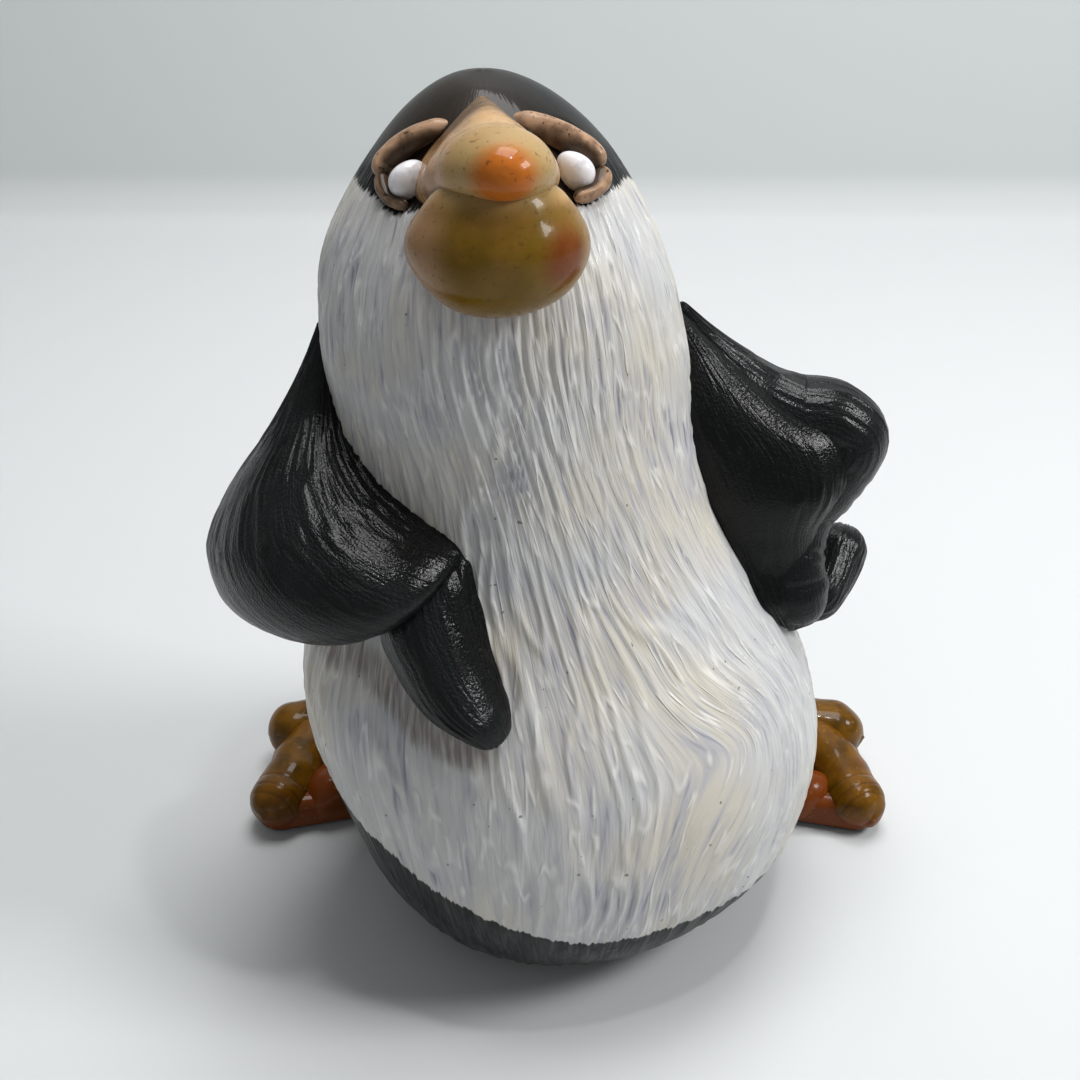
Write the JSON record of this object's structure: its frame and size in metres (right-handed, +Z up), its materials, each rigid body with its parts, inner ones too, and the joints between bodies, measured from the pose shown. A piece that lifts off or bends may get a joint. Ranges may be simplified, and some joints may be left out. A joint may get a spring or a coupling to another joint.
{
  "type": "penguin figurine",
  "caption": "Small hand-painted resin penguin ornament standing with its chin up, wings on its hips and webbed feet turned out.",
  "frame": {"origin": "middle of the flat base's underside, on the surface that the figurine stands on", "axes": "+Z up through the crown, -Y straight ahead out of the breast, -X to the figurine's own right"},
  "size_m": [0.0846, 0.0668, 0.1003],
  "materials": {
    "slate_paint": "hand-painted slate black on cast resin, varnished",
    "white_paint": "hand-painted white with a grey wash in the grooves, varnished",
    "beak_paint": "hand-painted tan, yellow and orange, varnished",
    "eye_paint": "plain white paint, high gloss",
    "lid_paint": "hand-painted brown, varnished",
    "foot_paint": "hand-painted ochre with dark grooves, varnished",
    "bare_resin": "bare cast resin, matt"
  },
  "bodies": {
    "root": {"back_shell": "slate_paint", "breast_shell": "white_paint", "base_plug": "bare_resin", "right_wing": "slate_paint", "left_wing": "slate_paint", "upper_beak": "beak_paint", "lower_beak": "beak_paint", "right_eye": "eye_paint", "left_eye": "eye_paint", "right_upper_eyelid": "lid_paint", "left_upper_eyelid": "lid_paint", "right_lower_eyelid": "lid_paint", "left_lower_eyelid": "lid_paint", "right_foot_web": "foot_paint", "left_foot_web": "foot_paint", "right_inner_toe": "foot_paint", "right_middle_toe": "foot_paint", "right_outer_toe": "foot_paint", "left_inner_toe": "foot_paint", "left_middle_toe": "foot_paint", "left_outer_toe": "foot_paint", "tail": "slate_paint"}
  },
  "joints": []
}
